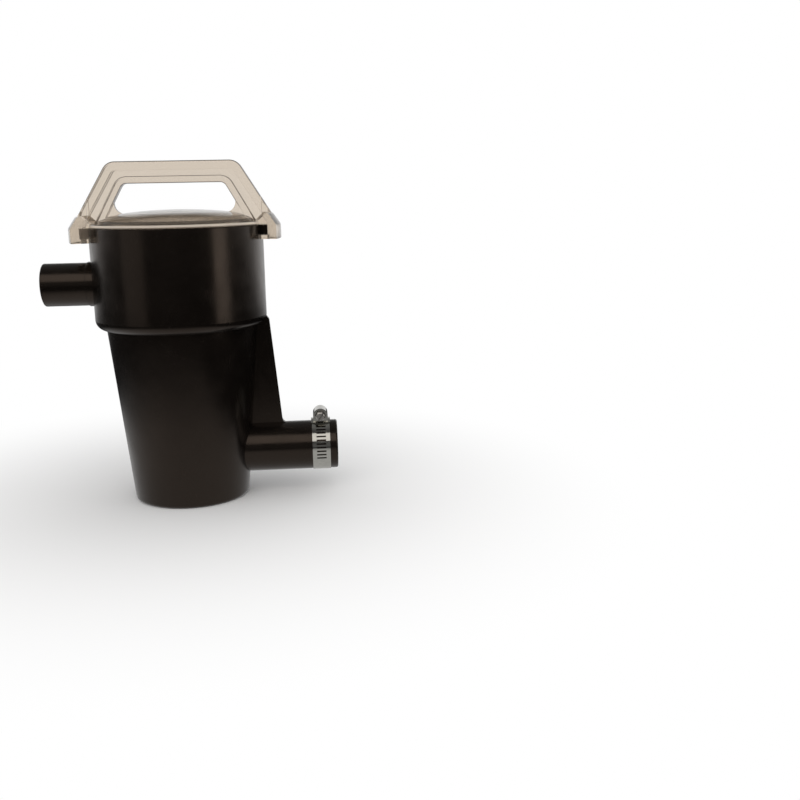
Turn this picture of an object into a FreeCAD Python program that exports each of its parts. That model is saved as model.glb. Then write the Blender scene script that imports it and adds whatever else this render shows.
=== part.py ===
"""Strainer pot for a pool pump: pot, clear bayonet lid, basket with bail, and hose clamp.

Millimetres, +Z up. The origin is on the pot's axis at its flat bottom. The outlet points to +X,
the inlet to -X, and the lid's handle and claws lie in the XZ plane.
"""
import FreeCAD, Part
import math
import os

Vector = FreeCAD.Vector
X_AXIS = Vector(1, 0, 0)
Y_AXIS = Vector(0, 1, 0)
Z_AXIS = Vector(0, 0, 1)

# Pot: a tapered lower cup under a wider straight chamber
POT_WALL = 3.2
FLOOR_THICKNESS = 4.0
RIM_Z = 247.4
CHAMBER_RADIUS = 75.8
CHAMBER_FLARE = 0.2
CHAMBER_HEIGHT = 88.9
SHOULDER_STEP = 9.2
SHOULDER_ROUND = 8.6
CUP_TAPER = 14.6
BOTTOM_EDGE_ROUND = 3.5
RIM_WIDTH = 8.5
RIM_DEPTH = 9.0
RIM_EDGE_ROUND = 0.8

# Inlet spigot, for a 1 1/2 in hose pushed over it up to the stop ring
INLET_DROP = 49.7
INLET_RADIUS = 19.05
INLET_WALL = 3.0
INLET_LENGTH = 43.1
INLET_EDGE_ROUND = 1.2
STOP_RING_LENGTH = 4.2
STOP_RING_HEIGHT = 0.7
STOP_RING_CHAMFER = 0.4

# Outlet socket, which goes over a pipe end and is squeezed by the clamp
OUTLET_Z = 42.0
OUTLET_RADIUS = 22.7
OUTLET_LENGTH = 60.7
OUTLET_EDGE_ROUND = 1.8
SOCKET_BORE_RADIUS = 19.7
SOCKET_DEPTH = 50.0
SOCKET_LEAD_IN = 0.8
OUTLET_PASSAGE_RADIUS = 16.5

# Triangular web between the chamber, the cup and the outlet
WEB_THICKNESS = 5.0
WEB_TOP_REACH = 2.1
WEB_FOOT_REACH = 10.4
WEB_FOOT_ROUND = 4.5
WEB_FOOT_SINK = 0.2
WEB_TOP_RISE = 3.5

# Bayonet lugs on the pot; angles run from +X towards +Y
LUG_REACH = 7.8
LUG_TOP_DROP = 0.5
LUG_HEIGHT = 8.1
LUG_START_ANGLE = -11.0
LUG_END_ANGLE = 20.0
LUG_EDGE_ROUND = 0.6
LUG_LEAD_ANGLE = 3.0
LUG_LEAD_DEPTH = 1.6

# Seal in the rim's groove
GROOVE_INSET = 4.1
GROOVE_WIDTH = 3.8
GROOVE_DEPTH = 3.0
SEAL_DIAMETER = 3.2

# Clear lid: flange, dome and the skirt that centres it
LID_GAP = 0.3
LID_WALL = 3.2
LID_EDGE_ROUND = 1.0
DOME_CROWN_RISE = 14.1
DOME_CROWN_RADIUS = 400.0
DOME_CROWN_INSET = 30.0
DOME_SIDE_RADIUS = 60.0
DOME_FOOT_INSET = 9.7
SKIRT_CLEARANCE = 0.35
SKIRT_WALL = 2.8
SKIRT_DEPTH = 4.5

# Handle, an I-section frame that is one piece with the lid
HANDLE_TOP_RISE = 56.0
HANDLE_TOP_INSET = 19.9
HANDLE_LEG_SLOPE = 0.611
HANDLE_CORNER_ROUND = 12.0
GRIP_DEPTH = 19.1
OPENING_TOP_INSET = 12.1
OPENING_LEG_SLOPE = 0.565
OPENING_CORNER_ROUND = 6.0
OPENING_FOOT_ROUND = 9.0
OUTER_RIB = 7.7
INNER_RIB = 6.2
OUTER_RIB_WIDTH = 14.5
INNER_RIB_WIDTH = 12.0
HANDLE_WEB = 5.0
RIB_OVERLAP = 0.5
GRIP_EDGE_ROUND = 1.8
RIB_EDGE_ROUND = 1.2

# Claws that hook under the lugs
CLAW_WALL = 7.9
CLAW_SIDE_GAP = 0.5
CLAW_LIP = 3.5
CLAW_LIP_GAP = 0.4
CLAW_WALL_GAP = 0.7
CLAW_LEAD_ANGLE = 5.0
CLAW_END_WALL = 4.2
CLAW_STOP_GAP = 0.3
CLAW_SHOULDER_RISE = 9.6
CLAW_SHOULDER_ROUND = 3.0
CLAW_SIDE_ROUND = 4.0
CLAW_FOOT_ROUND = 0.8
CLAW_ROOT_REACH = 3.0

# Basket, whose rim rests on the pot's inner ledge
BASKET_WALL = 2.0
BASKET_RIM_SIDE_GAP = 0.6
BASKET_RIM_HEIGHT = 3.0
BASKET_RIM_ROUND = 0.8
BASKET_TOP_GAP = 1.0
BASKET_ABOVE_OUTLET = 5.0
BASKET_TAPER = 12.4
BASKET_FLOOR = 2.4
BASKET_FLOOR_ROUND = 3.0
WINDOW_ROWS = 4
WINDOWS_PER_ROW = 32
WINDOW_WIDTH = 7.2
WINDOW_TOP_BAND = 9.0
WINDOW_BOTTOM_BAND = 6.0
WINDOW_BAR = 3.0
FLOOR_RINGS = 3
FLOOR_SLOTS_PER_RING = 8
FLOOR_HUB_RADIUS = 7.0
FLOOR_BAR = 3.0
FLOOR_SLOT_SHARE = 0.62

# Bail of the basket and its ears
BAIL_INSET = 3.0
BAIL_ROD_RADIUS = 2.0
BAIL_REST_GAP = 0.3
BAIL_PIN_RADIUS = 1.6
BAIL_PIN_CLEARANCE = 0.05
BAIL_EYE_RADIUS = 2.1
EAR_SIDE_GAP = 0.4
EAR_THICKNESS = 2.8
EAR_HALF_WIDTH = 5.0
EAR_RISE = 3.6

# Worm-drive clamp round the outlet socket
CLAMP_INSET = 15.2
BAND_WIDTH = 16.4
BAND_THICKNESS = 0.7
BAND_CLEARANCE = 0.05
BAND_SLOT_LENGTH = 8.7
BAND_SLOT_WIDTH = 1.5
BAND_SLOT_PITCH = 3.3
BAND_SLOT_FIRST_ANGLE = 35.0
BAND_SLOTS = 10
BAND_LAP_FRONT_ANGLE = 26.0
BAND_LAP_BACK_ANGLE = -70.0
SADDLE_WIDTH = 17.6
SADDLE_THICKNESS = 1.0
SADDLE_HALF_ANGLE = 24.0
HOUSING_HALF_WIDTH = 6.8
HOUSING_WALL = 1.1
HOUSING_FRONT_Y = -8.0
HOUSING_BACK_Y = 8.0
SCREW_HEIGHT = 28.8
WORM_BAND_GAP = 0.6
WORM_END_GAP = 0.3
JOURNAL_RADIUS = 3.0
JOURNAL_CLEARANCE = 0.05
HEAD_ACROSS_FLATS = 8.2
HEAD_HEIGHT = 5.0
HEAD_GAP = 0.4
HEAD_CHAMFER = 1.5
DRIVER_SLOT_WIDTH = 1.3
DRIVER_SLOT_DEPTH = 1.8
DRIVER_SLOT_ANGLE = 50.0

# Sizes that follow from those above
BIG = 400.0
EDGE_MATCH = 0.01
SHOULDER_Z = RIM_Z - CHAMBER_HEIGHT
RIM_RADIUS = CHAMBER_RADIUS + CHAMBER_FLARE
CONE_TOP_RADIUS = CHAMBER_RADIUS - SHOULDER_STEP
BOTTOM_RADIUS = CONE_TOP_RADIUS - CUP_TAPER
CONE_SLOPE = CUP_TAPER / SHOULDER_Z
LEDGE_Z = SHOULDER_Z + POT_WALL
MOUTH_RADIUS = RIM_RADIUS - RIM_WIDTH
GROOVE_RADIUS = RIM_RADIUS - GROOVE_INSET
INLET_Z = RIM_Z - INLET_DROP
INLET_END_X = -CHAMBER_RADIUS - INLET_LENGTH
STOP_RING_X = -CHAMBER_RADIUS - STOP_RING_LENGTH
OUTLET_END_X = CHAMBER_RADIUS + OUTLET_LENGTH
CLAMP_X = OUTLET_END_X - CLAMP_INSET
CHAMBER_BORE_RADIUS = CHAMBER_RADIUS - POT_WALL
LUG_RADIUS = RIM_RADIUS + LUG_REACH
LUG_TOP_Z = RIM_Z - LUG_TOP_DROP
LUG_BOTTOM_Z = LUG_TOP_Z - LUG_HEIGHT
LID_Z = RIM_Z + LID_GAP
LID_TOP_Z = LID_Z + LID_WALL
DOME_CROWN_ANGLE = math.degrees(math.asin((RIM_RADIUS - DOME_CROWN_INSET) / DOME_CROWN_RADIUS))
DOME_SIDE_X = (DOME_CROWN_RADIUS - DOME_SIDE_RADIUS) * math.sin(math.radians(DOME_CROWN_ANGLE))
DOME_SIDE_ANGLE = math.degrees(math.asin((RIM_RADIUS - DOME_FOOT_INSET - DOME_SIDE_X) / DOME_SIDE_RADIUS))
HANDLE_TOP_Z = LID_Z + HANDLE_TOP_RISE
HANDLE_TOP_HALF = RIM_RADIUS - HANDLE_TOP_INSET
OPENING_TOP_HALF = HANDLE_TOP_HALF - OPENING_TOP_INSET
OPENING_TOP_Z = HANDLE_TOP_Z - GRIP_DEPTH
CLAW_BORE_RADIUS = LUG_RADIUS + CLAW_SIDE_GAP
CLAW_RADIUS = CLAW_BORE_RADIUS + CLAW_WALL
CLAW_LIP_TOP_Z = LUG_BOTTOM_Z - CLAW_LIP_GAP
CLAW_BOTTOM_Z = CLAW_LIP_TOP_Z - CLAW_LIP
BASKET_RIM_Z = LEDGE_Z + BASKET_RIM_HEIGHT
BASKET_FLOOR_Z = OUTLET_Z + OUTLET_RADIUS + BASKET_ABOVE_OUTLET
BASKET_DEPTH = LEDGE_Z - BASKET_FLOOR_Z
BASKET_TOP_RADIUS = CONE_TOP_RADIUS - POT_WALL - BASKET_TOP_GAP
BASKET_BOTTOM_RADIUS = BASKET_TOP_RADIUS - BASKET_TAPER
BAIL_RADIUS = BASKET_TOP_RADIUS - BAIL_INSET
BAIL_Z = BASKET_RIM_Z + BAIL_REST_GAP + BAIL_ROD_RADIUS
EAR_INNER_Y = BAIL_RADIUS + BAIL_ROD_RADIUS + EAR_SIDE_GAP
EAR_OUTER_Y = EAR_INNER_Y + EAR_THICKNESS
BAND_RADIUS = OUTLET_RADIUS + BAND_CLEARANCE
BAND_TOP_RADIUS = BAND_RADIUS + 2 * BAND_THICKNESS
SCREW_Z = OUTLET_Z + SCREW_HEIGHT
WORM_RADIUS = SCREW_HEIGHT - BAND_TOP_RADIUS - WORM_BAND_GAP


def xz(u, v):
    return Vector(u, 0, v)


def rounded_wire(corners, place=xz):
    """Closed wire through (u, v, radius) corners, each rounded by a tangent arc."""
    points = [place(u, v) for u, v, _ in corners]
    stretches = []
    for index, (_, _, radius) in enumerate(corners):
        corner = points[index]
        back = (points[index - 1] - corner).normalize()
        ahead = (points[(index + 1) % len(points)] - corner).normalize()
        half = back.getAngle(ahead) / 2
        if radius <= 0:
            stretches.append((corner, None, corner))
            continue
        reach = radius / math.tan(half)
        middle = (back + ahead).normalize()
        crest = corner + middle * (radius / math.sin(half) - radius)
        stretches.append((corner + back * reach, crest, corner + ahead * reach))
    edges = []
    for index, (start, crest, end) in enumerate(stretches):
        if crest is not None:
            edges.append(Part.Arc(start, crest, end).toShape())
        follower = stretches[(index + 1) % len(stretches)][0]
        if (follower - end).Length > 1e-4:
            edges.append(Part.LineSegment(end, follower).toShape())
    return Part.Wire(edges)


def turned(corners, angle=360.0):
    """Solid turned about Z from a closed half section in the XZ plane."""
    face = Part.Face(rounded_wire(corners))
    return face.revolve(Vector(0, 0, 0), Z_AXIS, angle)


def turned_sector(corners, start_angle, end_angle):
    """Part of a turned solid between two angles measured from +X."""
    solid = turned(corners, end_angle - start_angle)
    solid.rotate(Vector(0, 0, 0), Z_AXIS, start_angle)
    return solid


def plate(corners, thickness):
    """Plate with its outline in the XZ plane, centred on that plane."""
    face = Part.Face(rounded_wire(corners))
    solid = face.extrude(Vector(0, thickness, 0))
    solid.translate(Vector(0, -thickness / 2, 0))
    return solid


def rod(radius, length, start, direction):
    return Part.makeCylinder(radius, length, start, direction)


def block(x0, x1, y0, y1, z0, z1):
    return Part.makeBox(x1 - x0, y1 - y0, z1 - z0, Vector(x0, y0, z0))


def round_edges(solid, radius, chosen):
    edges = [edge for edge in solid.Edges if chosen(edge)]
    return solid.makeFillet(radius, edges)


def pot_outside():
    return turned([
        (0, 0, 0),
        (BOTTOM_RADIUS, 0, BOTTOM_EDGE_ROUND),
        (CONE_TOP_RADIUS, SHOULDER_Z, 0),
        (CHAMBER_RADIUS, SHOULDER_Z, SHOULDER_ROUND),
        (RIM_RADIUS, RIM_Z, RIM_EDGE_ROUND),
        (0, RIM_Z, 0),
    ])


def pot_inside():
    """Hollow of the pot, with the ledge for the basket and the narrower mouth."""
    floor_radius = BOTTOM_RADIUS - POT_WALL + CONE_SLOPE * FLOOR_THICKNESS
    rim_foot_z = RIM_Z - RIM_DEPTH
    taper = CHAMBER_BORE_RADIUS - MOUTH_RADIUS
    return turned([
        (0, FLOOR_THICKNESS, 0),
        (floor_radius, FLOOR_THICKNESS, BOTTOM_EDGE_ROUND),
        (CONE_TOP_RADIUS - POT_WALL, LEDGE_Z, 0),
        (CHAMBER_BORE_RADIUS, LEDGE_Z, SHOULDER_ROUND - POT_WALL),
        (CHAMBER_BORE_RADIUS, rim_foot_z - taper, 0),
        (MOUTH_RADIUS, rim_foot_z, 0),
        (MOUTH_RADIUS, RIM_Z, 0),
        (MOUTH_RADIUS, RIM_Z + POT_WALL, 0),
        (0, RIM_Z + POT_WALL, 0),
    ])


def seal_groove():
    half = GROOVE_WIDTH / 2
    return turned([
        (GROOVE_RADIUS - half, RIM_Z - GROOVE_DEPTH, 0),
        (GROOVE_RADIUS + half, RIM_Z - GROOVE_DEPTH, 0),
        (GROOVE_RADIUS + half, RIM_Z + POT_WALL, 0),
        (GROOVE_RADIUS - half, RIM_Z + POT_WALL, 0),
    ])


def inlet_spigot():
    """Plain tube with a low ring at its root that stops the hose."""
    start = Vector(-CHAMBER_BORE_RADIUS / 2, 0, INLET_Z)
    tube = rod(INLET_RADIUS, start.x - INLET_END_X, start, -X_AXIS)
    tube = round_edges(tube, INLET_EDGE_ROUND,
                       lambda edge: abs(edge.BoundBox.XMax - INLET_END_X) < EDGE_MATCH)
    ring = rod(INLET_RADIUS + STOP_RING_HEIGHT, start.x - STOP_RING_X, start, -X_AXIS)
    end_edge = [edge for edge in ring.Edges if abs(edge.BoundBox.XMax - STOP_RING_X) < EDGE_MATCH]
    return tube.fuse(ring.makeChamfer(STOP_RING_CHAMFER, end_edge))


def outlet_socket():
    tube = rod(OUTLET_RADIUS, OUTLET_END_X, Vector(0, 0, OUTLET_Z), X_AXIS)
    return round_edges(tube, OUTLET_EDGE_ROUND,
                       lambda edge: abs(edge.BoundBox.XMin - OUTLET_END_X) < EDGE_MATCH)


def outlet_web():
    """Thin triangular web that stands on the outlet and runs up into the chamber's shoulder."""
    foot_x = CHAMBER_RADIUS + WEB_FOOT_REACH
    foot_z = OUTLET_Z + OUTLET_RADIUS - WEB_FOOT_SINK
    hidden_z = OUTLET_Z + OUTLET_RADIUS / 2
    return plate([
        (BOTTOM_RADIUS, hidden_z, 0),
        (foot_x + WEB_FOOT_ROUND, hidden_z, 0),
        (foot_x + WEB_FOOT_ROUND, foot_z, 0),
        (foot_x, foot_z, WEB_FOOT_ROUND),
        (CHAMBER_RADIUS + WEB_TOP_REACH, SHOULDER_Z + WEB_TOP_RISE, 0),
        (CHAMBER_RADIUS - POT_WALL / 2, SHOULDER_Z + SHOULDER_ROUND, 0),
        (BOTTOM_RADIUS, SHOULDER_Z + SHOULDER_ROUND, 0),
    ], WEB_THICKNESS)


def lug(centre_angle):
    """Bayonet lug, with its underside sloped at the end where the claw's lip comes in."""
    inner = RIM_RADIUS - POT_WALL / 2
    body = turned_sector([
        (inner, LUG_BOTTOM_Z, 0),
        (LUG_RADIUS, LUG_BOTTOM_Z, LUG_EDGE_ROUND),
        (LUG_RADIUS, LUG_TOP_Z, LUG_EDGE_ROUND),
        (inner, LUG_TOP_Z, 0),
    ], LUG_START_ANGLE, LUG_END_ANGLE)
    lead_length = LUG_RADIUS * math.radians(LUG_LEAD_ANGLE)
    wedge = Part.Face(Part.makePolygon([
        Vector(0, 0, LUG_BOTTOM_Z - LUG_LEAD_DEPTH),
        Vector(0, -lead_length, LUG_BOTTOM_Z),
        Vector(0, 0, LUG_BOTTOM_Z + LUG_LEAD_DEPTH),
        Vector(0, lead_length, LUG_BOTTOM_Z - LUG_LEAD_DEPTH),
        Vector(0, 0, LUG_BOTTOM_Z - LUG_LEAD_DEPTH),
    ])).extrude(Vector(2 * LUG_RADIUS, 0, 0))
    wedge.rotate(Vector(0, 0, 0), Z_AXIS, LUG_END_ANGLE)
    body = body.cut(wedge)
    body.rotate(Vector(0, 0, 0), Z_AXIS, centre_angle)
    return body


def pot_body():
    body = pot_outside().fuse([inlet_spigot(), outlet_socket(), outlet_web(), lug(0), lug(180)])
    bore = INLET_RADIUS - INLET_WALL
    cuts = [
        pot_inside(),
        seal_groove(),
        rod(bore, BIG, Vector(-CHAMBER_BORE_RADIUS / 2, 0, INLET_Z), -X_AXIS),
        rod(OUTLET_PASSAGE_RADIUS, BIG, Vector(0, 0, OUTLET_Z), X_AXIS),
        rod(SOCKET_BORE_RADIUS, BIG, Vector(OUTLET_END_X - SOCKET_DEPTH, 0, OUTLET_Z), X_AXIS),
        Part.makeCone(SOCKET_BORE_RADIUS, SOCKET_BORE_RADIUS + 2 * SOCKET_LEAD_IN, 2 * SOCKET_LEAD_IN,
                      Vector(OUTLET_END_X - SOCKET_LEAD_IN, 0, OUTLET_Z), X_AXIS),
    ]
    return body.cut(cuts).removeSplitter()


def lid_seal():
    return Part.makeTorus(GROOVE_RADIUS, SEAL_DIAMETER / 2,
                          Vector(0, 0, RIM_Z - GROOVE_DEPTH + SEAL_DIAMETER / 2), Z_AXIS)


def dome_point(crown_radius, side_radius, angle):
    """Point on the dome's side arc at an angle from the vertical, tangent to the crown arc."""
    centre_z = LID_Z + DOME_CROWN_RISE - DOME_CROWN_RADIUS
    turn = math.radians(angle)
    if angle <= DOME_CROWN_ANGLE:
        return xz(crown_radius * math.sin(turn), centre_z + crown_radius * math.cos(turn))
    side_z = centre_z + (DOME_CROWN_RADIUS - DOME_SIDE_RADIUS) * math.cos(math.radians(DOME_CROWN_ANGLE))
    return xz(DOME_SIDE_X + side_radius * math.sin(turn), side_z + side_radius * math.cos(turn))


def dome_edges(inset):
    """Crown and side arcs of the dome, inset from its outer face, from the axis outwards."""
    crown = DOME_CROWN_RADIUS - inset
    side = DOME_SIDE_RADIUS - inset
    between = (DOME_CROWN_ANGLE + DOME_SIDE_ANGLE) / 2
    joint = dome_point(crown, side, DOME_CROWN_ANGLE)
    first = Part.Arc(dome_point(crown, side, 0), dome_point(crown, side, DOME_CROWN_ANGLE / 2), joint)
    second = Part.Arc(joint, dome_point(crown, side, between), dome_point(crown, side, DOME_SIDE_ANGLE))
    return first.toShape(), second.toShape()


def revolved(edges):
    return Part.Face(Part.Wire(edges)).revolve(Vector(0, 0, 0), Z_AXIS, 360)


def polyline(points):
    return [Part.LineSegment(a, b).toShape() for a, b in zip(points, points[1:])]


def lid_outside():
    crown, side = dome_edges(0)
    foot = dome_point(DOME_CROWN_RADIUS, DOME_SIDE_RADIUS, DOME_SIDE_ANGLE)
    skirt = MOUTH_RADIUS - SKIRT_CLEARANCE
    edge = LID_EDGE_ROUND
    rim = [
        foot,
        xz(foot.x + (foot.z - LID_TOP_Z), LID_TOP_Z),
        xz(RIM_RADIUS - edge, LID_TOP_Z),
        xz(RIM_RADIUS, LID_TOP_Z - edge),
        xz(RIM_RADIUS, LID_Z),
        xz(skirt, LID_Z),
        xz(skirt, LID_Z - SKIRT_DEPTH),
        xz(0, LID_Z - SKIRT_DEPTH),
        xz(0, LID_Z + DOME_CROWN_RISE),
    ]
    return revolved([crown, side] + polyline(rim))


def lid_inside():
    crown, side = dome_edges(LID_WALL)
    foot = dome_point(DOME_CROWN_RADIUS - LID_WALL, DOME_SIDE_RADIUS - LID_WALL, DOME_SIDE_ANGLE)
    skirt_bore = MOUTH_RADIUS - SKIRT_CLEARANCE - SKIRT_WALL
    edges = [
        foot,
        xz(skirt_bore, foot.z - abs(skirt_bore - foot.x)),
        xz(skirt_bore, LID_Z - SKIRT_DEPTH - LID_WALL),
        xz(0, LID_Z - SKIRT_DEPTH - LID_WALL),
        xz(0, LID_Z + DOME_CROWN_RISE - LID_WALL),
    ]
    return revolved([crown, side] + polyline(edges))


def handle_outline(inset, foot_z):
    """Outer outline of the handle, moved inwards by inset."""
    slant = math.hypot(1, HANDLE_LEG_SLOPE)
    top = HANDLE_TOP_HALF - inset * (slant - HANDLE_LEG_SLOPE)
    top_z = HANDLE_TOP_Z - inset
    foot = top + HANDLE_LEG_SLOPE * (top_z - foot_z)
    corner = max(HANDLE_CORNER_ROUND - inset, 1.0)
    return [(-foot, foot_z, 0), (-top, top_z, corner), (top, top_z, corner), (foot, foot_z, 0)]


def opening_outline(outset, foot_z, foot_round):
    """Outline of the finger opening, moved outwards by outset."""
    slant = math.hypot(1, OPENING_LEG_SLOPE)
    top = OPENING_TOP_HALF + outset * (slant - OPENING_LEG_SLOPE)
    top_z = OPENING_TOP_Z + outset
    foot = top + OPENING_LEG_SLOPE * (top_z - foot_z)
    corner = OPENING_CORNER_ROUND + outset
    return [
        (-foot, foot_z, foot_round),
        (-top, top_z, corner),
        (top, top_z, corner),
        (foot, foot_z, foot_round),
    ]


def handle():
    foot_z = LID_Z + LID_WALL / 2
    opening_foot_z = LID_Z + DOME_CROWN_RISE - LID_WALL
    wide = 2 * OUTER_RIB_WIDTH
    outer_rib = plate(handle_outline(0, foot_z), OUTER_RIB_WIDTH)
    outer_rib = round_edges(outer_rib, GRIP_EDGE_ROUND, lambda edge: on_rib_face(edge, OUTER_RIB_WIDTH))
    outer_rib = outer_rib.cut(plate(handle_outline(OUTER_RIB, foot_z), wide))
    inner_rib = plate(opening_outline(INNER_RIB, foot_z, 0), INNER_RIB_WIDTH)
    inner_rib = inner_rib.cut(plate(opening_outline(0, foot_z, 0), wide))
    inner_rib = round_edges(inner_rib, RIB_EDGE_ROUND, lambda edge: on_rib_face(edge, INNER_RIB_WIDTH))
    web = plate(handle_outline(RIB_OVERLAP, foot_z), HANDLE_WEB)
    web = web.cut(plate(opening_outline(RIB_OVERLAP, opening_foot_z, OPENING_FOOT_ROUND), wide))
    frame = outer_rib.fuse([inner_rib, web])
    under_opening = block(-OPENING_TOP_HALF, OPENING_TOP_HALF, -wide, wide, 0, opening_foot_z)
    return frame.cut([under_opening, lid_inside(), pot_mouth_space()])


def on_rib_face(edge, width):
    """True for the edges of a rib's two flat faces, apart from the cut at its feet."""
    box = edge.BoundBox
    flat = box.YMax - box.YMin < EDGE_MATCH and abs(abs(box.YMax) - width / 2) < EDGE_MATCH
    return flat and box.ZMax > LID_TOP_Z + LID_WALL


def pot_mouth_space():
    """Everything below the lid's flange, which the handle's feet stay out of."""
    return turned([(0, 0, 0), (BIG, 0, 0), (BIG, LID_Z, 0), (0, LID_Z, 0)])


def claw(centre_angle):
    """Hook over and under a lug, with a pocket closed at the end that stops the lid."""
    shoulder_z = LID_TOP_Z + CLAW_SHOULDER_RISE
    inner = RIM_RADIUS + CLAW_WALL_GAP
    start_angle = LUG_START_ANGLE - CLAW_LEAD_ANGLE
    stop_angle = LUG_END_ANGLE + math.degrees(CLAW_STOP_GAP / LUG_RADIUS)
    end_angle = stop_angle + math.degrees(CLAW_END_WALL / LUG_RADIUS)
    slab = turned_sector([
        (GROOVE_RADIUS, LID_Z, 0),
        (inner, LID_Z, 0),
        (inner, CLAW_BOTTOM_Z, CLAW_FOOT_ROUND),
        (CLAW_RADIUS, CLAW_BOTTOM_Z, CLAW_FOOT_ROUND),
        (CLAW_RADIUS, LID_TOP_Z - CLAW_LIP, CLAW_SIDE_ROUND),
        (CLAW_BORE_RADIUS, shoulder_z - CLAW_ROOT_REACH / 2, CLAW_SHOULDER_ROUND),
        (GROOVE_RADIUS + CLAW_ROOT_REACH, LID_TOP_Z, CLAW_ROOT_REACH / 2),
        (GROOVE_RADIUS, LID_TOP_Z, 0),
    ], start_angle, end_angle)
    pocket = turned_sector([
        (RIM_RADIUS - CLAW_WALL_GAP, CLAW_LIP_TOP_Z, 0),
        (CLAW_BORE_RADIUS, CLAW_LIP_TOP_Z, LUG_EDGE_ROUND),
        (CLAW_BORE_RADIUS, LID_Z, LUG_EDGE_ROUND),
        (RIM_RADIUS - CLAW_WALL_GAP, LID_Z, 0),
    ], start_angle - CLAW_LEAD_ANGLE, stop_angle)
    hook = slab.cut(pocket)
    hook.rotate(Vector(0, 0, 0), Z_AXIS, centre_angle)
    return hook


def lid():
    shell = lid_outside().cut(lid_inside())
    return shell.fuse([handle(), claw(0), claw(180)]).removeSplitter()


def basket_wall_radius(z):
    share = (z - BASKET_FLOOR_Z) / BASKET_DEPTH
    return BASKET_BOTTOM_RADIUS + share * (BASKET_TOP_RADIUS - BASKET_BOTTOM_RADIUS)


def basket_shell():
    rim_radius = MOUTH_RADIUS - BASKET_RIM_SIDE_GAP
    inner_top = BASKET_TOP_RADIUS - BASKET_WALL
    return turned([
        (0, BASKET_FLOOR_Z, 0),
        (BASKET_BOTTOM_RADIUS, BASKET_FLOOR_Z, BASKET_FLOOR_ROUND),
        (BASKET_TOP_RADIUS, LEDGE_Z, 0),
        (rim_radius, LEDGE_Z, 0),
        (rim_radius, BASKET_RIM_Z, BASKET_RIM_ROUND),
        (inner_top, BASKET_RIM_Z, BASKET_RIM_ROUND),
        (BASKET_BOTTOM_RADIUS - BASKET_WALL, BASKET_FLOOR_Z + BASKET_FLOOR,
         BASKET_FLOOR_ROUND - BASKET_FLOOR / 2),
        (0, BASKET_FLOOR_Z + BASKET_FLOOR, 0),
    ])


def wall_windows():
    """Rows of upright windows through the basket's wall."""
    span = BASKET_DEPTH - WINDOW_TOP_BAND - WINDOW_BOTTOM_BAND - BASKET_FLOOR
    height = (span - (WINDOW_ROWS - 1) * WINDOW_BAR) / WINDOW_ROWS
    first_z = BASKET_FLOOR_Z + BASKET_FLOOR + WINDOW_BOTTOM_BAND
    windows = []
    for row in range(WINDOW_ROWS):
        z = first_z + row * (height + WINDOW_BAR)
        width = WINDOW_WIDTH * basket_wall_radius(z) / BASKET_TOP_RADIUS
        for place in range(WINDOWS_PER_ROW):
            window = block(BASKET_BOTTOM_RADIUS - 3 * BASKET_WALL, RIM_RADIUS,
                           -width / 2, width / 2, z, z + height)
            window.rotate(Vector(0, 0, 0), Z_AXIS, 360 * (place + 0.5) / WINDOWS_PER_ROW)
            windows.append(window)
    return windows


def floor_slots():
    """Rings of curved slots through the basket's floor."""
    usable = BASKET_BOTTOM_RADIUS - 2 * BASKET_WALL - FLOOR_HUB_RADIUS
    step = usable / FLOOR_RINGS
    low = BASKET_FLOOR_Z - BASKET_FLOOR
    high = BASKET_FLOOR_Z + 2 * BASKET_FLOOR
    slots = []
    for ring in range(FLOOR_RINGS):
        inner = FLOOR_HUB_RADIUS + ring * step
        outer = inner + step - FLOOR_BAR
        count = FLOOR_SLOTS_PER_RING * (ring + 1)
        sweep = 360 / count
        for place in range(count):
            start = place * sweep
            slots.append(turned_sector(
                [(inner, low, 0), (outer, low, 0), (outer, high, 0), (inner, high, 0)],
                start, start + sweep * FLOOR_SLOT_SHARE))
    return slots


def basket_ear(side):
    """Upright ear on the rim, bored for the bail's pin."""
    top_z = BAIL_Z + EAR_RISE
    ear = plate([
        (-EAR_HALF_WIDTH, BASKET_RIM_Z - BASKET_RIM_HEIGHT / 2, 0),
        (EAR_HALF_WIDTH, BASKET_RIM_Z - BASKET_RIM_HEIGHT / 2, 0),
        (EAR_HALF_WIDTH, top_z, EAR_RISE),
        (-EAR_HALF_WIDTH, top_z, EAR_RISE),
    ], EAR_THICKNESS)
    ear.translate(Vector(0, side * (EAR_INNER_Y + EAR_THICKNESS / 2), 0))
    hole = rod(BAIL_PIN_RADIUS + BAIL_PIN_CLEARANCE, 2 * EAR_OUTER_Y, Vector(0, -EAR_OUTER_Y, BAIL_Z), Y_AXIS)
    return ear.cut(hole)


def strainer_basket():
    shell = basket_shell().cut(wall_windows()).cut(floor_slots())
    return shell.fuse([basket_ear(1), basket_ear(-1)])


def basket_bail():
    """Half ring that lies on the basket's rim and turns on two pins."""
    ring = Part.makeTorus(BAIL_RADIUS, BAIL_ROD_RADIUS, Vector(0, 0, BAIL_Z), Z_AXIS, -180, 180, 180)
    ring.rotate(Vector(0, 0, 0), Z_AXIS, -90)
    solids = []
    for side in (-1, 1):
        outward = Y_AXIS * side
        eye_start = Vector(0, side * (BAIL_RADIUS - BAIL_ROD_RADIUS), BAIL_Z)
        solids.append(rod(BAIL_EYE_RADIUS, 2 * BAIL_ROD_RADIUS, eye_start, outward))
        pin_start = Vector(0, side * BAIL_RADIUS, BAIL_Z)
        solids.append(rod(BAIL_PIN_RADIUS, EAR_OUTER_Y - BAIL_RADIUS, pin_start, outward))
    return ring.fuse(solids)


def about_outlet(solid):
    """Turns a solid made about Z so that its axis becomes the outlet's, at the clamp."""
    solid.rotate(Vector(0, 0, 0), Y_AXIS, 90)
    solid.translate(Vector(CLAMP_X, 0, OUTLET_Z))
    return solid


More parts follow.
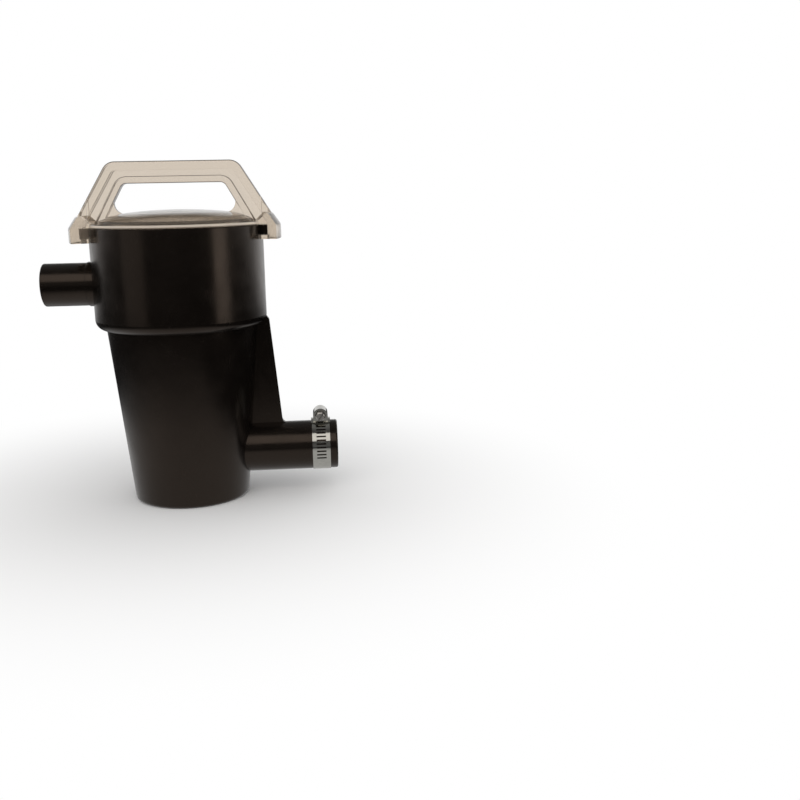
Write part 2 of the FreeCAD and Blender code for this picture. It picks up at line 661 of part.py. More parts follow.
def clamp_sector(inner, outer, width, back_angle, front_angle):
    """Ring sector about the outlet; angles run from +Z towards -Y."""
    half = width / 2
    corners = [(inner, -half, 0), (outer, -half, 0), (outer, half, 0), (inner, half, 0)]
    sector = turned_sector(corners, 180 - front_angle, 180 - back_angle)
    return about_outlet(sector)


def band_slots():
    """Slots across the band, from under the worm down its front."""
    pitch = math.degrees(BAND_SLOT_PITCH / BAND_RADIUS)
    slots = []
    under_worm = int((BAND_SLOT_FIRST_ANGLE - BAND_LAP_BACK_ANGLE) / pitch) - 1
    for place in range(-under_worm, BAND_SLOTS):
        angle = BAND_SLOT_FIRST_ANGLE + place * pitch
        low = BAND_RADIUS - BAND_THICKNESS if place >= 0 else BAND_RADIUS + BAND_THICKNESS
        slot = block(-BAND_SLOT_LENGTH / 2, BAND_SLOT_LENGTH / 2, -BAND_SLOT_WIDTH / 2, BAND_SLOT_WIDTH / 2,
                     low, BAND_TOP_RADIUS + BAND_THICKNESS)
        slot.rotate(Vector(0, 0, 0), X_AXIS, angle)
        slot.translate(Vector(CLAMP_X, 0, OUTLET_Z))
        slots.append(slot)
    return slots


def clamp_band():
    """One strip that goes once round the socket and laps over itself under the worm."""
    turn = clamp_sector(BAND_RADIUS, BAND_RADIUS + BAND_THICKNESS, BAND_WIDTH, 0, 360)
    lap = clamp_sector(BAND_RADIUS + BAND_THICKNESS, BAND_TOP_RADIUS, BAND_WIDTH,
                       BAND_LAP_BACK_ANGLE, BAND_LAP_FRONT_ANGLE)
    return turn.fuse(lap).cut(band_slots())


def housing_arch(half_width, front_y, back_y):
    """Arched block along Y round the screw's axis, reaching down into the socket."""
    top = Part.makeCylinder(half_width, back_y - front_y, Vector(CLAMP_X, front_y, SCREW_Z), Y_AXIS)
    legs = block(CLAMP_X - half_width, CLAMP_X + half_width, front_y, back_y, OUTLET_Z, SCREW_Z)
    return top.fuse(legs).removeSplitter()


def clamp_housing():
    """Stamped saddle on the band, with an arch that carries the screw at both ends."""
    inner = BAND_TOP_RADIUS + BAND_CLEARANCE
    saddle = clamp_sector(inner, inner + SADDLE_THICKNESS, SADDLE_WIDTH,
                          -SADDLE_HALF_ANGLE, SADDLE_HALF_ANGLE)
    arch = housing_arch(HOUSING_HALF_WIDTH, HOUSING_FRONT_Y, HOUSING_BACK_Y)
    tunnel = housing_arch(HOUSING_HALF_WIDTH - HOUSING_WALL, HOUSING_FRONT_Y + HOUSING_WALL,
                          HOUSING_BACK_Y - HOUSING_WALL)
    on_band = rod(inner, BIG, Vector(CLAMP_X - BIG / 2, 0, OUTLET_Z), X_AXIS)
    bearing = rod(JOURNAL_RADIUS + JOURNAL_CLEARANCE, BIG, Vector(CLAMP_X, -BIG / 2, SCREW_Z), Y_AXIS)
    return saddle.fuse(arch).cut([tunnel, on_band, bearing]).removeSplitter()


def hexagon_head():
    """Hexagon head with its corners chamfered and a driver slot across it."""
    start_y = HOUSING_FRONT_Y - HEAD_GAP - HEAD_HEIGHT
    corner = HEAD_ACROSS_FLATS / 2 / math.cos(math.pi / 6)
    points = []
    for number in range(7):
        angle = number * math.pi / 3
        points.append(Vector(CLAMP_X + corner * math.cos(angle), start_y, SCREW_Z + corner * math.sin(angle)))
    head = Part.Face(Part.makePolygon(points)).extrude(Vector(0, HEAD_HEIGHT, 0))
    middle = Vector(CLAMP_X, start_y, SCREW_Z)
    cone_height = HEAD_HEIGHT + HEAD_CHAMFER
    cone_start = corner - HEAD_CHAMFER
    cone = Part.makeCone(cone_start, cone_start + 2 * cone_height, cone_height, middle, Y_AXIS)
    half = DRIVER_SLOT_WIDTH / 2
    slot = block(-HEAD_ACROSS_FLATS, HEAD_ACROSS_FLATS,
                 start_y - half, start_y + DRIVER_SLOT_DEPTH, -half, half)
    slot.rotate(Vector(0, 0, 0), Y_AXIS, -DRIVER_SLOT_ANGLE)
    slot.translate(Vector(CLAMP_X, 0, SCREW_Z))
    return head.common(cone).cut(slot)


def clamp_screw():
    """Worm screw: slotted hexagon head, two journals and the worm between them."""
    front = HOUSING_FRONT_Y - HEAD_GAP
    shaft = rod(JOURNAL_RADIUS, HOUSING_BACK_Y - front, Vector(CLAMP_X, front, SCREW_Z), Y_AXIS)
    worm_start = HOUSING_FRONT_Y + HOUSING_WALL + WORM_END_GAP
    worm_end = HOUSING_BACK_Y - HOUSING_WALL - WORM_END_GAP
    worm = rod(WORM_RADIUS, worm_end - worm_start, Vector(CLAMP_X, worm_start, SCREW_Z), Y_AXIS)
    return shaft.fuse([worm, hexagon_head()]).removeSplitter()


def main():
    os.makedirs("parts", exist_ok=True)
    pieces = {
        "pot_body": pot_body,
        "lid": lid,
        "lid_seal": lid_seal,
        "strainer_basket": strainer_basket,
        "basket_bail": basket_bail,
        "clamp_band": clamp_band,
        "clamp_housing": clamp_housing,
        "clamp_screw": clamp_screw,
    }
    for name, make in pieces.items():
        shape = make()
        print(name, "solids", len(shape.Solids), "valid", shape.isValid(), "volume", round(shape.Volume))
        shape.exportStep(f"parts/{name}.step")


main()
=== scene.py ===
"""Finishes, worm thread and stage for a pool pump strainer pot, laid out as an add-on."""

import math

import bpy
from bpy.props import FloatProperty, FloatVectorProperty, IntProperty, PointerProperty
from bpy.types import Operator, Panel, PropertyGroup
from mathutils import Matrix, Vector


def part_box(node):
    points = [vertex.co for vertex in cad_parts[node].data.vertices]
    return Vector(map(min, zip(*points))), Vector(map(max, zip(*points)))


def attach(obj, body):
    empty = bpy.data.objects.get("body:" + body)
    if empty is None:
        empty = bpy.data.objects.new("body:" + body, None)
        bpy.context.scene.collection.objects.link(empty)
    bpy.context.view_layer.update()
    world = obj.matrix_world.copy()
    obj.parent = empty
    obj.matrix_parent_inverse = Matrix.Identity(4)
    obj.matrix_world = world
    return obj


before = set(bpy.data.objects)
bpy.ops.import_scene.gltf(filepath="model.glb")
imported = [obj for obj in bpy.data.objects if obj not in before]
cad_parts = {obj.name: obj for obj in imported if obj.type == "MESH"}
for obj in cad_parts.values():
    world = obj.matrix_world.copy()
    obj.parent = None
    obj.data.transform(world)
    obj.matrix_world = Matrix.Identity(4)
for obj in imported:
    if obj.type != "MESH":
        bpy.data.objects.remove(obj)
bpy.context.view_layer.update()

bl_info = {
    "name": "Strainer Pot",
    "version": (1, 0, 0),
    "blender": (4, 5, 0),
    "location": "View3D > Sidebar > Strainer Pot",
    "description": "Finishes a strainer pot with a clear bayonet lid, a basket and a hose clamp",
    "category": "Object",
}

RANGE_SOCKETS = ("From Min", "From Max", "To Min", "To Max")
LAMP_COLOUR = (1.0, 0.97, 0.94)
LAMPS = (
    ("left_softbox", (-0.80, -0.61, 0.30), (0, 0, 0.14), 0.55, 0.60, 0.35),
    ("right_softbox", (0.88, -0.48, 0.28), (0, 0, 0.14), 0.34, 0.56, 0.8),
    ("back_softbox", (0.75, 0.80, 0.45), (0, 0, 0.16), 0.50, 0.80, 0.3),
    ("key_softbox", (-0.15, -1.05, 1.10), (0, 0, 0.15), 1.6, 1.0, 5.6),
)
SCREW_BOX = [Vector(corner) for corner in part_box("clamp_screw")]
HOUSING_BOX = [Vector(corner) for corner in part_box("clamp_housing")]
LID_BOX = [Vector(corner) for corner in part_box("lid")]
FLANGE_RADIUS = (LID_BOX[1].y - LID_BOX[0].y) / 2
FLANGE_Z = 0.2477
DOME_TOP_Z = 0.2618
EDGE_BAND = (0.0002, 0.0004)
THREAD_FOOT = 0.34
THREAD_CREST = 0.12
THREAD_SINK = 0.0002
FLOOR_SIZE = 6.0
FLOOR_FADE = (0.06, 0.42)
FULL = 1.0
# Painted light and painted shade on the floor that gloss mirrors: where its glow goes over from its first
# brightness to its second.
MIRROR_REACH, MIRROR_NEAR, MIRROR_FAR = (0.14, 0.50), 0.80, 0.03
MIRROR_LEFT, MIRROR_LEFT_SIDE, MIRROR_MIDDLE = (-0.20, -0.02), 0.85, 0.68
MIRROR_RIGHT, MIRROR_RIGHT_SIDE = (0.18, 0.26), 0.01
MIRROR_BACK = (0.5, 2.0)
# The world: height at which it dims overhead, depth over which the room in front brightens to the back.
OVERHEAD, OVERHEAD_DIM = (0.12, 0.55), 0.22
FRONT_TO_BACK, FRONT_DIM, BACK_BRIGHT = (-0.6, 0.3), 0.12, 0.85
WORLD_ON_MATT = 0.75


class PotSettings(PropertyGroup):
    """Colours and finishes of the pot, the lid and the basket."""

    pot_colour: FloatVectorProperty(
        name="Pot colour", description="Colour of the moulded pot", subtype="COLOR",
        default=(0.0027, 0.0021, 0.0018), min=0, max=1)
    pot_roughness: FloatProperty(
        name="Pot roughness", description="Mean roughness of the moulded pot",
        default=0.22, min=0.05, max=1)
    pot_specular: FloatProperty(
        name="Pot specular", description="Specular level of the moulded pot",
        default=0.50, min=0, max=1)
    pot_sheen: FloatVectorProperty(
        name="Pot sheen", description="Tint of the pot's gloss", subtype="COLOR",
        default=(1.0, 0.78, 0.63), min=0, max=1)
    lid_colour: FloatVectorProperty(
        name="Lid tint", description="Tint of the clear lid", subtype="COLOR",
        default=(0.715, 0.635, 0.545), min=0, max=1)
    lid_depth: FloatVectorProperty(
        name="Lid depth colour", description="Colour that light takes on inside the lid", subtype="COLOR",
        default=(0.55, 0.44, 0.28), min=0, max=1)
    lid_density: FloatProperty(
        name="Lid density", description="How fast the lid's colour deepens with its thickness",
        default=8.0, min=0, max=500)
    # Painted shade: where the lid's faces turn away from the view, its colour is darkened towards this
    # share of the tint.
    lid_painted_edge_shade: FloatProperty(
        name="Lid edge", description="Brightness of the lid where its faces turn away",
        default=0.05, min=0, max=1)
    basket_colour: FloatVectorProperty(
        name="Basket colour", description="Colour of the basket and its bail", subtype="COLOR",
        default=(0.60, 0.60, 0.57), min=0, max=1)


class ClampSettings(PropertyGroup):
    """Colours and thread of the hose clamp."""

    band_colour: FloatVectorProperty(
        name="Band colour", description="Colour of the rolled strip", subtype="COLOR",
        default=(0.52, 0.51, 0.47), min=0, max=1)
    screw_colour: FloatVectorProperty(
        name="Screw colour", description="Colour of the plated screw", subtype="COLOR",
        default=(0.48, 0.46, 0.43), min=0, max=1)
    thread_pitch: FloatProperty(
        name="Thread pitch", description="Distance between turns of the worm", subtype="DISTANCE",
        unit="LENGTH", default=0.0033, min=0.001, max=0.01)
    thread_height: FloatProperty(
        name="Thread height", description="Height of the worm's thread", subtype="DISTANCE",
        unit="LENGTH", default=0.0005, min=0.0001, max=0.002)
    thread_share: FloatProperty(
        name="Thread share", description="Share of the housing's depth that the thread fills",
        default=0.60, min=0.2, max=0.8)
    thread_steps: IntProperty(
        name="Thread steps", description="Points round one turn of the worm",
        default=48, min=12, max=128)


class StageSettings(PropertyGroup):
    """Camera, floor and light."""

    camera_place: FloatVectorProperty(
        name="Camera place", description="Where the camera stands", subtype="TRANSLATION", unit="LENGTH",
        default=(0.1176, -0.9050, 0.2766))
    camera_pitch: FloatProperty(
        name="Camera pitch", description="How far the camera looks down", subtype="ANGLE",
        default=math.radians(12.137))
    camera_turn: FloatProperty(
        name="Camera turn", description="How far the camera looks towards the outlet", subtype="ANGLE",
        default=math.radians(4.988))
    camera_roll: FloatProperty(
        name="Camera roll", description="Tilt of the picture", subtype="ANGLE",
        default=math.radians(1.073))
    lens: FloatProperty(
        name="Lens", description="Focal length in millimetres", default=44.37, min=10, max=200)
    floor_colour: FloatVectorProperty(
        name="Floor colour", description="Colour of the floor", subtype="COLOR",
        default=(0.86, 0.86, 0.86), min=0, max=1)


class Shader:
    """Short way to build one material's nodes."""

    def __init__(self, name):
        self.material = bpy.data.materials.new(name)
        self.material.use_nodes = True
        self.tree = self.material.node_tree
        self.surface = self.tree.nodes["Principled BSDF"]
        self.output = self.tree.nodes["Material Output"]
        self.place = self.tree.nodes.new("ShaderNodeTexCoord").outputs["Object"]

    def add(self, kind, **values):
        node = self.tree.nodes.new(kind)
        for key, value in values.items():
            setattr(node, key, value)
        return node

    def link(self, output, target):
        self.tree.links.new(output, target)

    def stretched(self, scale, turn=(0, 0, 0)):
        mapping = self.add("ShaderNodeMapping")
        mapping.inputs["Scale"].default_value = scale
        mapping.inputs["Rotation"].default_value = turn
        self.link(self.place, mapping.inputs["Vector"])
        return mapping.outputs["Vector"]

    def noise(self, scale, detail=3.0, roughness=0.5, vector=None, distortion=0.0):
        node = self.add("ShaderNodeTexNoise")
        node.inputs["Scale"].default_value = scale
        node.inputs["Detail"].default_value = detail
        node.inputs["Roughness"].default_value = roughness
        node.inputs["Distortion"].default_value = distortion
        self.link(vector or self.place, node.inputs["Vector"])
        return node.outputs["Fac"]

    def remap(self, value, low, high, to_low, to_high):
        node = self.add("ShaderNodeMapRange")
        for key, number in zip(RANGE_SOCKETS, (low, high, to_low, to_high)):
            node.inputs[key].default_value = number
        self.link(value, node.inputs["Value"])
        return node.outputs["Result"]

    def math(self, operation, first, second):
        node = self.add("ShaderNodeMath", operation=operation)
        for socket, value in zip(node.inputs, (first, second)):
            if isinstance(value, (int, float)):
                socket.default_value = value
            else:
                self.link(value, socket)
        return node.outputs["Value"]

    def mix_colour(self, factor, first, second):
        node = self.add("ShaderNodeMix", data_type="RGBA")
        self.link(factor, node.inputs["Factor"])
        for socket, value in ((node.inputs[6], first), (node.inputs[7], second)):
            if isinstance(value, tuple):
                socket.default_value = (*value, 1)
            else:
                self.link(value, socket)
        return node.outputs[2]

    def bump(self, height, strength, distance, before=None):
        node = self.add("ShaderNodeBump")
        node.inputs["Strength"].default_value = strength
        node.inputs["Distance"].default_value = distance
        self.link(height, node.inputs["Height"])
        if before is not None:
            self.link(before, node.inputs["Normal"])
        return node.outputs["Normal"]

    def feed(self, **sockets):
        for key, value in sockets.items():
            socket = self.surface.inputs[key.replace("_", " ")]
            if isinstance(value, (int, float)):
                socket.default_value = value
            elif isinstance(value, tuple):
                socket.default_value = (*value, 1)
            else:
                self.link(value, socket)
        return self.material


def lighter(colour, factor):
    return tuple(min(1.0, channel * factor) for channel in colour)


def pot_finish(settings):
    """Black moulded plastic: satin gloss, faint flow mottling, upright scuffs and dust."""
    shader = Shader("pot_black_plastic")
    colour = tuple(settings.pot_colour)
    mottling = shader.noise(26, detail=4)
    streaks = shader.noise(1, detail=3, vector=shader.stretched((900, 900, 40)))
    scuffs = shader.remap(streaks, 0.60, 0.78, 0, 1)
    specks = shader.remap(shader.noise(1500, detail=1), 0.70, 0.80, 0, 1)
    base = shader.mix_colour(mottling, lighter(colour, 0.8), lighter(colour, 1.45))
    dusty = shader.mix_colour(shader.math("MULTIPLY", specks, 0.35), base, (0.09, 0.08, 0.07))
    even = settings.pot_roughness
    roughness = shader.remap(shader.noise(60, detail=5), 0.3, 0.7, even - 0.04, even + 0.05)
    roughness = shader.math("ADD", roughness, shader.math("MULTIPLY", scuffs, 0.05))
    grain = shader.bump(shader.noise(1400, detail=2), 0.10, 0.0002)
    ripple = shader.bump(shader.noise(45, detail=1), 0.16, 0.0012, before=grain)
    shader.feed(IOR=1.49, Specular_IOR_Level=settings.pot_specular)
    shader.feed(Specular_Tint=tuple(settings.pot_sheen))
    return shader.feed(Base_Color=dusty, Roughness=roughness, Normal=ripple)


def flange_edge(shader):
    """1 on the upright edge of the lid's flange, where a painted light stands in for light caught inside
    the disc that leaves it.
    """
    parts = shader.add("ShaderNodeSeparateXYZ")
    shader.link(shader.place, parts.inputs["Vector"])
    across = shader.math("POWER", parts.outputs["X"], 2.0)
    along = shader.math("POWER", parts.outputs["Y"], 2.0)
    radius = shader.math("SQRT", shader.math("ADD", across, along), 0.0)
    near, far = EDGE_BAND
    outer = shader.remap(radius, FLANGE_RADIUS - far, FLANGE_RADIUS - near, 0, 1)
    inner = shader.remap(radius, FLANGE_RADIUS + near, FLANGE_RADIUS + far, 1, 0)
    low = shader.remap(parts.outputs["Z"], FLANGE_Z + 0.0004, FLANGE_Z + 0.0010, 0, 1)
    return shader.math("MULTIPLY", shader.math("MULTIPLY", outer, inner), low)


def above_dome(shader):
    """1 on the handle above the dome, whose rounded edges get painted shade all along."""
    parts = shader.add("ShaderNodeSeparateXYZ")
    shader.link(shader.place, parts.inputs["Vector"])
    return shader.remap(parts.outputs["Z"], DOME_TOP_Z, DOME_TOP_Z + 0.004, 0, 1)


def lid_finish(settings):
    """Clear tinted plastic with slight flow waves, painted shade where its faces turn away and painted
    light on the flange's upright edge; light passes to what lies under it.
    """
    shader = Shader("lid_clear_plastic")
    waves = shader.bump(shader.noise(55, detail=2), 0.10, 0.0008)
    haze = shader.remap(shader.noise(120, detail=4), 0.35, 0.75, 0.012, 0.05)
    tint = tuple(settings.lid_colour)
    # Painted shade: the colour darkens where the lid's faces turn away from the view, standing in for the
    # dark that its rounded edges and thick walls refract. On the handle above the dome it starts at a
    # shallower turn and goes all the way.
    edge = shader.add("ShaderNodeLayerWeight")
    edge.inputs["Blend"].default_value = 0.5
    shell = shader.remap(edge.outputs["Facing"], 0.50, 0.90, 0, 0.6)
    turned = shader.remap(edge.outputs["Facing"], 0.06, 0.30, 0, 1)
    handle = shader.math("MULTIPLY", turned, above_dome(shader))
    painted_edge_shade = shader.math("MAXIMUM", shell, handle)
    clear = shader.mix_colour(shader.noise(20, detail=2), lighter(tint, 0.98), lighter(tint, 1.02))
    colour = shader.mix_colour(painted_edge_shade, clear, lighter(tint, settings.lid_painted_edge_shade))
    # Painted light: the flange's upright edge is painted lighter and made less clear, for light caught
    # inside the disc that leaves it there.
    upright = flange_edge(shader)
    painted_edge_light = shader.mix_colour(upright, colour, lighter(tint, 1.05))
    clearness = shader.remap(upright, 0, 1, 0.93, 0.35)
    shader.feed(Base_Color=painted_edge_light, Roughness=haze, Normal=waves, IOR=1.52)
    shader.feed(Transmission_Weight=clearness)
    shader.feed(Specular_Tint=lighter(tint, 1.15), Specular_IOR_Level=0.35)
    path = shader.add("ShaderNodeLightPath")
    through = shader.add("ShaderNodeBsdfTransparent")
    through.inputs["Color"].default_value = (*lighter(tint, 1.1), 1)
    mix = shader.add("ShaderNodeMixShader")
    shader.link(path.outputs["Is Shadow Ray"], mix.inputs[0])
    shader.link(shader.surface.outputs["BSDF"], mix.inputs[1])
    shader.link(through.outputs["BSDF"], mix.inputs[2])
    shader.link(mix.outputs["Shader"], shader.output.inputs["Surface"])
    depth = shader.add("ShaderNodeVolumeAbsorption")
    depth.inputs["Color"].default_value = (*settings.lid_depth, 1)
    depth.inputs["Density"].default_value = settings.lid_density
    shader.link(depth.outputs["Volume"], shader.output.inputs["Volume"])
    return shader.material


def seal_finish():
    """Black rubber with a faint bloom."""
    shader = Shader("seal_rubber")
    bloom = shader.noise(220, detail=4)
    colour = shader.mix_colour(bloom, (0.008, 0.008, 0.008), (0.022, 0.021, 0.020))
    roughness = shader.remap(bloom, 0.3, 0.7, 0.45, 0.62)
    grain = shader.bump(shader.noise(2400), 0.2, 0.0001)
    return shader.feed(Base_Color=colour, Roughness=roughness, Normal=grain)


def basket_finish(settings):
    """Pale moulded plastic with a fine matt grain and slight staining."""
    shader = Shader("basket_plastic")
    colour = tuple(settings.basket_colour)
    stain = shader.remap(shader.noise(30, detail=5), 0.45, 0.75, 0, 0.35)
    stained = (colour[0] * 0.86, colour[1] * 0.82, colour[2] * 0.72)
    base = shader.mix_colour(stain, colour, stained)
    roughness = shader.remap(shader.noise(90, detail=4), 0.3, 0.7, 0.42, 0.56)
    grain = shader.bump(shader.noise(1800, detail=2), 0.25, 0.0002)
    return shader.feed(Base_Color=base, Roughness=roughness, Normal=grain, IOR=1.49)


def strip_finish(settings):
    """Rolled stainless strip: fine lines that run round the clamp, and faint smudges."""
    shader = Shader("clamp_rolled_steel")
    colour = tuple(settings.band_colour)
    lines = shader.noise(1, detail=4, roughness=0.7, vector=shader.stretched((9000, 120, 120)))
    smudge = shader.noise(260, detail=4)
    base = shader.mix_colour(smudge, lighter(colour, 0.86), lighter(colour, 1.08))
    smudged = shader.remap(smudge, 0.3, 0.7, 0.05, 0.12)
    roughness = shader.math("ADD", smudged, shader.math("MULTIPLY", lines, 0.08))
    rolled = shader.bump(lines, 0.25, 0.00004)
    return shader.feed(Base_Color=base, Metallic=1.0, Roughness=roughness, Normal=rolled)


def screw_finish(settings):
    """Bright plated screw with slightly rubbed flats."""
    shader = Shader("screw_plated_steel")
    colour = tuple(settings.screw_colour)
    rub = shader.noise(700, detail=5)
    base = shader.mix_colour(rub, lighter(colour, 0.75), lighter(colour, 1.15))
    roughness = shader.remap(rub, 0.3, 0.7, 0.2, 0.38)
    grain = shader.bump(shader.noise(3000, detail=3), 0.15, 0.00005)
    return shader.feed(Base_Color=base, Metallic=1.0, Roughness=roughness, Normal=grain)


def dress(node, material):
    """Gives every face of a frame node one material."""
    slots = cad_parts[node].material_slots
    if not slots:
        raise RuntimeError(f"{node} has no material slot")
    for slot in slots:
        slot.material = material


class STRAINER_OT_pot(Operator):
    """Finishes the moulded pot and its seal"""

    bl_idname = "strainer.pot"
    bl_label = "Pot and seal"

    def execute(self, context):
        dress("pot_body", pot_finish(context.scene.strainer_pot))
        dress("lid_seal", seal_finish())
        return {"FINISHED"}


class STRAINER_OT_lid(Operator):
    """Finishes the clear lid with its handle and claws"""

    bl_idname = "strainer.lid"
    bl_label = "Clear lid"

    def execute(self, context):
        dress("lid", lid_finish(context.scene.strainer_pot))
        return {"FINISHED"}


class STRAINER_OT_basket(Operator):
    """Finishes the basket and its bail"""

    bl_idname = "strainer.basket"
    bl_label = "Basket and bail"

    def execute(self, context):
        material = basket_finish(context.scene.strainer_pot)
        dress("strainer_basket", material)
        dress("basket_bail", material)
        return {"FINISHED"}


def worm_radius(axis_x, axis_z):
    """Radius of the plain worm: the screw's widest part in the housing's back half."""
    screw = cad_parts["clamp_screw"]
    points = [screw.matrix_world @ vertex.co for vertex in screw.data.vertices]
    middle = (HOUSING_BOX[0].y + HOUSING_BOX[1].y) / 2
    behind = [point for point in points if point.y > middle]
    return max(math.hypot(point.x - axis_x, point.z - axis_z) for point in behind)


def worm_thread(settings, material):
    """Helical ridge on the plain worm between the housing's end walls."""
    axis_x = (SCREW_BOX[0].x + SCREW_BOX[1].x) / 2
    axis_z = (SCREW_BOX[0].z + SCREW_BOX[1].z) / 2
    root = worm_radius(axis_x, axis_z)
    end = (HOUSING_BOX[1].y - HOUSING_BOX[0].y) / 2 * settings.thread_share
    start = -end
    turns = (end - start) / settings.thread_pitch
    steps = int(turns * settings.thread_steps)
    foot = settings.thread_pitch * THREAD_FOOT
    crest = settings.thread_pitch * THREAD_CREST
    points = []
    faces = []
    for step in range(steps + 1):
        share = step / steps
        angle = share * turns * math.tau
        y = start + foot + share * (end - start - 2 * foot)
        taper = min(1.0, 6 * share, 6 * (1 - share))
        low = root - THREAD_SINK
        high = root + settings.thread_height * taper
        for offset, radius in ((-foot, low), (-crest, high), (crest, high), (foot, low)):
            x = axis_x + radius * math.cos(angle)
            z = axis_z + radius * math.sin(angle)
            points.append((x, y + offset, z))
        if step:
            for side in range(4):
                first = (step - 1) * 4 + side
                second = (step - 1) * 4 + (side + 1) % 4
                faces.append((first, second, second + 4, first + 4))
    faces.append((3, 2, 1, 0))
    last = steps * 4
    faces.append((last, last + 1, last + 2, last + 3))
    mesh = bpy.data.meshes.new("worm_thread")
    mesh.from_pydata(points, [], faces)
    mesh.materials.append(material)
    mesh.validate()
    thread = bpy.data.objects.new("worm_thread", mesh)
    bpy.context.scene.collection.objects.link(thread)
    return thread


class STRAINER_OT_clamp(Operator):
    """Finishes the hose clamp and threads its worm"""

    bl_idname = "strainer.clamp"
    bl_label = "Hose clamp"

    def execute(self, context):
        settings = context.scene.strainer_clamp
        strip = strip_finish(settings)
        screw = screw_finish(settings)
        dress("clamp_band", strip)
        dress("clamp_housing", strip)
        dress("clamp_screw", screw)
        thread = worm_thread(settings, screw)
        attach(thread, "screw")
        return {"FINISHED"}


def stage_camera(settings):
    camera = bpy.data.cameras.new("camera")
    camera.lens = settings.lens
    camera.sensor_width = 36
    camera.clip_start = 0.01
    holder = bpy.data.objects.new("camera", camera)
    down = Matrix.Rotation(math.pi / 2 - settings.camera_pitch, 4, "X")
    turn = Matrix.Rotation(-settings.camera_turn, 4, "Z")
    roll = Matrix.Rotation(-settings.camera_roll, 4, "Z")
    holder.matrix_world = Matrix.Translation(settings.camera_place) @ turn @ down @ roll
    bpy.context.scene.collection.objects.link(holder)
    bpy.context.scene.camera = holder


def panel_light(name, place, target, width, height, power):
    """Soft rectangular lamp aimed at a point."""
    light = bpy.data.lights.new(name, "AREA")
    light.shape = "RECTANGLE"
    light.size = width
    light.size_y = height
    light.energy = power
    light.color = LAMP_COLOUR
    holder = bpy.data.objects.new(name, light)
    place = Vector(place)
    holder.rotation_euler = (Vector(target) - place).to_track_quat("-Z", "Y").to_euler()
    holder.location = place
    holder.visible_camera = False
    holder.visible_transmission = False
    bpy.context.scene.collection.objects.link(holder)


def mix_value(tree, factor, first, second):
    """First value where the factor is 0, second where it is 1."""
    node = tree.nodes.new("ShaderNodeMix")
    tree.links.new(factor, node.inputs["Factor"])
    for socket, value in ((node.inputs["A"], first), (node.inputs["B"], second)):
        if isinstance(value, float):
            socket.default_value = value
        else:
            tree.links.new(value, socket)
    return node.outputs["Result"]


def smooth(tree, value, low, high, to_low, to_high):
    """Value carried smoothly from one range to another."""
    node = tree.nodes.new("ShaderNodeMapRange")
    node.interpolation_type = "SMOOTHSTEP"
    for key, number in zip(RANGE_SOCKETS, (low, high, to_low, to_high)):
        node.inputs[key].default_value = number
    tree.links.new(value, node.inputs["Value"])
    return node.outputs["Result"]


def combine(tree, operation, first, second):
    """Two values joined by a clamped arithmetic step."""
    node = tree.nodes.new("ShaderNodeMath")
    node.operation = operation
    node.use_clamp = True
    tree.links.new(first, node.inputs[0])
    tree.links.new(second, node.inputs[1])
    return node.outputs["Value"]


def ray_kinds(tree):
    """Camera rays, rays that went through the clear lid, and rays mirrored by a gloss."""
    path = tree.nodes.new("ShaderNodeLightPath")
    through = path.outputs["Is Transmission Ray"]
    mirrored = combine(tree, "SUBTRACT", path.outputs["Is Glossy Ray"], through)
    return path.outputs["Is Camera Ray"], through, mirrored


def painted_floor_glow(tree, place, distance):
    """Glow of the floor in gloss, painted light and painted shade: bright near the object, dark to the
    right and in the room around.
    """
    parts = tree.nodes.new("ShaderNodeSeparateXYZ")
    tree.links.new(place, parts.inputs["Vector"])
    across = parts.outputs["X"]
    lit = smooth(tree, distance, *MIRROR_REACH, MIRROR_NEAR, MIRROR_FAR)
    left = smooth(tree, across, *MIRROR_LEFT, MIRROR_LEFT_SIDE, MIRROR_MIDDLE)
    right = smooth(tree, across, *MIRROR_RIGHT, FULL, MIRROR_RIGHT_SIDE)
    near = combine(tree, "MULTIPLY", lit, combine(tree, "MULTIPLY", left, right))
    back = smooth(tree, parts.outputs["Y"], *MIRROR_BACK, 0.0, FULL)
    return mix_value(tree, back, near, BACK_BRIGHT)


def stage_floor(settings):
    """Pale floor that keeps the soft shadow and fades into the white background."""
    size = FLOOR_SIZE
    corners = [(-size, -size, 0), (size, -size, 0), (size, size, 0), (-size, size, 0)]
    mesh = bpy.data.meshes.new("floor")
    mesh.from_pydata(corners, [], [(0, 1, 2, 3)])
    floor = bpy.data.objects.new("floor", mesh)
    bpy.context.scene.collection.objects.link(floor)
    material = bpy.data.materials.new("floor_pale")
    material.use_nodes = True
    tree = material.node_tree
    tree.nodes.clear()
    output = tree.nodes.new("ShaderNodeOutputMaterial")
    diffuse = tree.nodes.new("ShaderNodeBsdfDiffuse")
    diffuse.inputs["Color"].default_value = (*settings.floor_colour, 1)
    glow = tree.nodes.new("ShaderNodeEmission")
    place = tree.nodes.new("ShaderNodeTexCoord").outputs["Object"]
    length = tree.nodes.new("ShaderNodeVectorMath")
    length.operation = "LENGTH"
    tree.links.new(place, length.inputs[0])
    distance = length.outputs["Value"]
    faded = smooth(tree, distance, *FLOOR_FADE, 0.0, FULL)
    camera, through, mirrored = ray_kinds(tree)
    direct = mix_value(tree, combine(tree, "MAXIMUM", camera, through), 0.0, faded)
    # Painted light and painted shade: for gloss rays the floor is a glow whose brightness is set by
    # place, not by the lamps.
    strength = mix_value(tree, mirrored, FULL, painted_floor_glow(tree, place, distance))
    tree.links.new(strength, glow.inputs["Strength"])
    mix = tree.nodes.new("ShaderNodeMixShader")
    tree.links.new(mix_value(tree, mirrored, direct, FULL), mix.inputs[0])
    tree.links.new(diffuse.outputs["BSDF"], mix.inputs[1])
    tree.links.new(glow.outputs["Emission"], mix.inputs[2])
    tree.links.new(mix.outputs["Shader"], output.inputs["Surface"])
    mesh.materials.append(material)


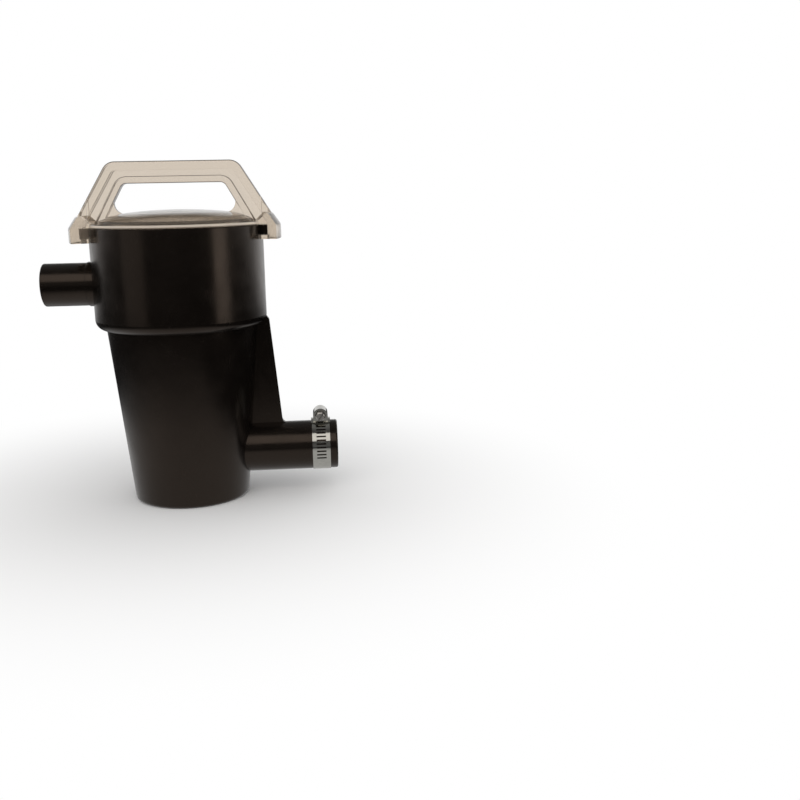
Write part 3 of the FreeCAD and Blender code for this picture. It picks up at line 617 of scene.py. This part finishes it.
def stage_world():
    """White background; gloss and glass see it dim overhead, and gloss sees the room dim in front."""
    world = bpy.data.worlds.new("studio")
    bpy.context.scene.world = world
    world.use_nodes = True
    tree = world.node_tree
    background = tree.nodes["Background"]
    background.inputs["Color"].default_value = (1, 1, 1, 1)
    direction = tree.nodes.new("ShaderNodeTexCoord").outputs["Generated"]
    parts = tree.nodes.new("ShaderNodeSeparateXYZ")
    tree.links.new(direction, parts.inputs["Vector"])
    overhead = smooth(tree, parts.outputs["Z"], *OVERHEAD, FULL, OVERHEAD_DIM)
    front = smooth(tree, parts.outputs["Y"], *FRONT_TO_BACK, FRONT_DIM, BACK_BRIGHT)
    camera, through, mirrored = ray_kinds(tree)
    glass = mix_value(tree, through, WORLD_ON_MATT, overhead)
    gloss = mix_value(tree, mirrored, glass, combine(tree, "MULTIPLY", overhead, front))
    strength = mix_value(tree, camera, gloss, FULL)
    tree.links.new(strength, background.inputs["Strength"])


class STRAINER_OT_stage(Operator):
    """Sets up the camera, the floor, the lamps and the background"""

    bl_idname = "strainer.stage"
    bl_label = "Stage"

    def execute(self, context):
        settings = context.scene.strainer_stage
        stage_camera(settings)
        stage_floor(settings)
        stage_world()
        for name, place, target, width, height, power in LAMPS:
            panel_light(name, place, target, width, height, power)
        context.scene.view_settings.view_transform = "Standard"
        return {"FINISHED"}


class STRAINER_PT_panel(Panel):
    """Lists the pieces in the sidebar."""

    bl_idname = "STRAINER_PT_panel"
    bl_label = "Strainer Pot"
    bl_space_type = "VIEW_3D"
    bl_region_type = "UI"
    bl_category = "Strainer Pot"

    def draw(self, context):
        layout = self.layout
        for operator in OPERATORS:
            layout.operator(operator.bl_idname)
        scene = context.scene
        for settings in (scene.strainer_pot, scene.strainer_clamp, scene.strainer_stage):
            box = layout.box()
            for name in settings.bl_rna.properties.keys():
                if name not in ("rna_type", "name"):
                    box.prop(settings, name)


OPERATORS = (STRAINER_OT_pot, STRAINER_OT_lid, STRAINER_OT_basket, STRAINER_OT_clamp, STRAINER_OT_stage)
SETTINGS = {"strainer_pot": PotSettings, "strainer_clamp": ClampSettings, "strainer_stage": StageSettings}


def register():
    for item in (*SETTINGS.values(), *OPERATORS, STRAINER_PT_panel):
        bpy.utils.register_class(item)
    for name, group in SETTINGS.items():
        setattr(bpy.types.Scene, name, PointerProperty(type=group))


def unregister():
    for name in SETTINGS:
        delattr(bpy.types.Scene, name)
    for item in reversed((*SETTINGS.values(), *OPERATORS, STRAINER_PT_panel)):
        bpy.utils.unregister_class(item)


def main():
    register()
    bpy.ops.strainer.pot()
    bpy.ops.strainer.lid()
    bpy.ops.strainer.basket()
    bpy.ops.strainer.clamp()
    bpy.ops.strainer.stage()


if __name__ == "__main__":
    main()
